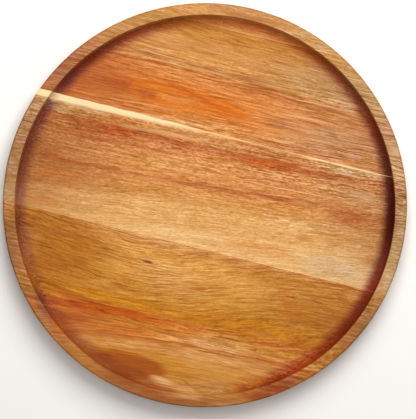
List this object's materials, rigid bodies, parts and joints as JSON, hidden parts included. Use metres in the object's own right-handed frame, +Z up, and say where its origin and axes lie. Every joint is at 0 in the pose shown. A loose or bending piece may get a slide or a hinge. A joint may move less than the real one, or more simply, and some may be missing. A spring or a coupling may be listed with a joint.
{
  "type": "serving tray",
  "caption": "Round wooden serving tray glued up from edge-jointed staves, with a low rim around a shallow coved well and a flat underside.",
  "frame": {"origin": "centre of the flat underside, on the surface that the tray lies on", "axes": "+Z up, out of the well, +X along the grain of the staves, +Y across the staves towards the narrow rear edge stave"},
  "size_m": [0.3, 0.3, 0.02],
  "materials": {
    "rear_edge_stave_wood": "sanded and oiled acacia, satin, light tan-orange",
    "rear_stave_wood": "sanded and oiled acacia, satin, golden brown with an orange band",
    "middle_stave_wood": "sanded and oiled acacia, satin, reddish brown with cream sapwood along its edges",
    "front_stave_wood": "sanded and oiled acacia, satin, olive brown with a small knot",
    "front_edge_stave_wood": "sanded and oiled acacia, satin, light brown with a dark cathedral patch",
    "dried_glue": "cured wood glue, pale, sanded flush with the wood"
  },
  "bodies": {
    "root": {"rear_edge_stave": "rear_edge_stave_wood", "rear_stave": "rear_stave_wood", "middle_stave": "middle_stave_wood", "front_stave": "front_stave_wood", "front_edge_stave": "front_edge_stave_wood", "rear_edge_glue_line": "dried_glue", "rear_glue_line": "dried_glue", "front_glue_line": "dried_glue", "front_edge_glue_line": "dried_glue"}
  },
  "joints": []
}
